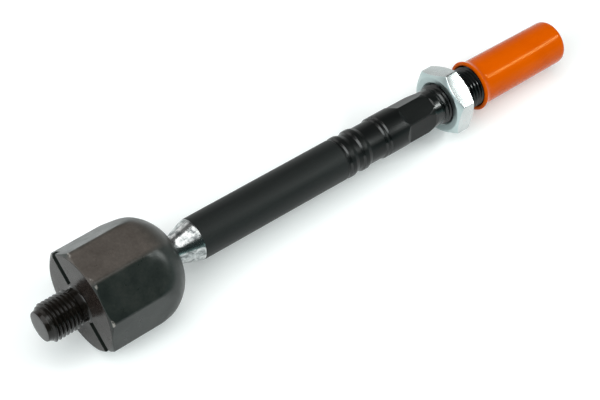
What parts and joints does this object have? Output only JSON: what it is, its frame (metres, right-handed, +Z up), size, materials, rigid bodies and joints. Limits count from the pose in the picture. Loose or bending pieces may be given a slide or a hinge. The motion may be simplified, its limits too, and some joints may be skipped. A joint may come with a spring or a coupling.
{
  "type": "inner tie rod",
  "caption": "Steering inner tie rod: ball joint in an octagonal socket with threaded stud, long threaded rod, lock nut and thread cap",
  "frame": {"origin": "on the floor under the middle of the part's length, in the vertical plane through the socket's axis", "axes": "+Z up; +X along the socket's axis from the rack stud towards the cap; the part lies on a flat of the socket and a corner of the nut"},
  "size_m": [0.2374, 0.036, 0.036],
  "materials": {
    "housing_steel": "dark phosphated forging, satin",
    "rod_steel": "black coated, satin, with a bare steel neck",
    "zinc_steel": "bright zinc plated",
    "seat_plastic": "natural acetal",
    "cap_plastic": "semi-gloss orange polyethylene"
  },
  "bodies": {
    "housing": {"socket_housing": "housing_steel"},
    "seat": {"ball_seat": "seat_plastic"},
    "rod": {"tie_rod": "rod_steel"},
    "nut": {"lock_nut": "zinc_steel"},
    "cap": {"thread_cap": "cap_plastic"}
  },
  "joints": [
    {"name": "socket_turn", "type": "hinge", "parent": "housing", "child": "seat", "pos_m": [-0.08016, 0, 0.018], "axis": [1, 0, 0], "continuous": true},
    {"name": "ball_swing", "type": "hinge", "parent": "seat", "child": "rod", "pos_m": [-0.08016, 0, 0.018], "axis": [0, 1, 0], "range_deg": [-21.7, 18.2]},
    {"name": "nut_turn", "type": "hinge", "parent": "rod", "child": "nut", "pos_m": [0.06228, 0, 0.01369], "axis": [0.9995, 0, -0.0303], "continuous": true},
    {"name": "cap_slide", "type": "slide", "parent": "rod", "child": "cap", "axis": [0.9995, 0, -0.0303], "range_m": [0, 0.045]}
  ]
}
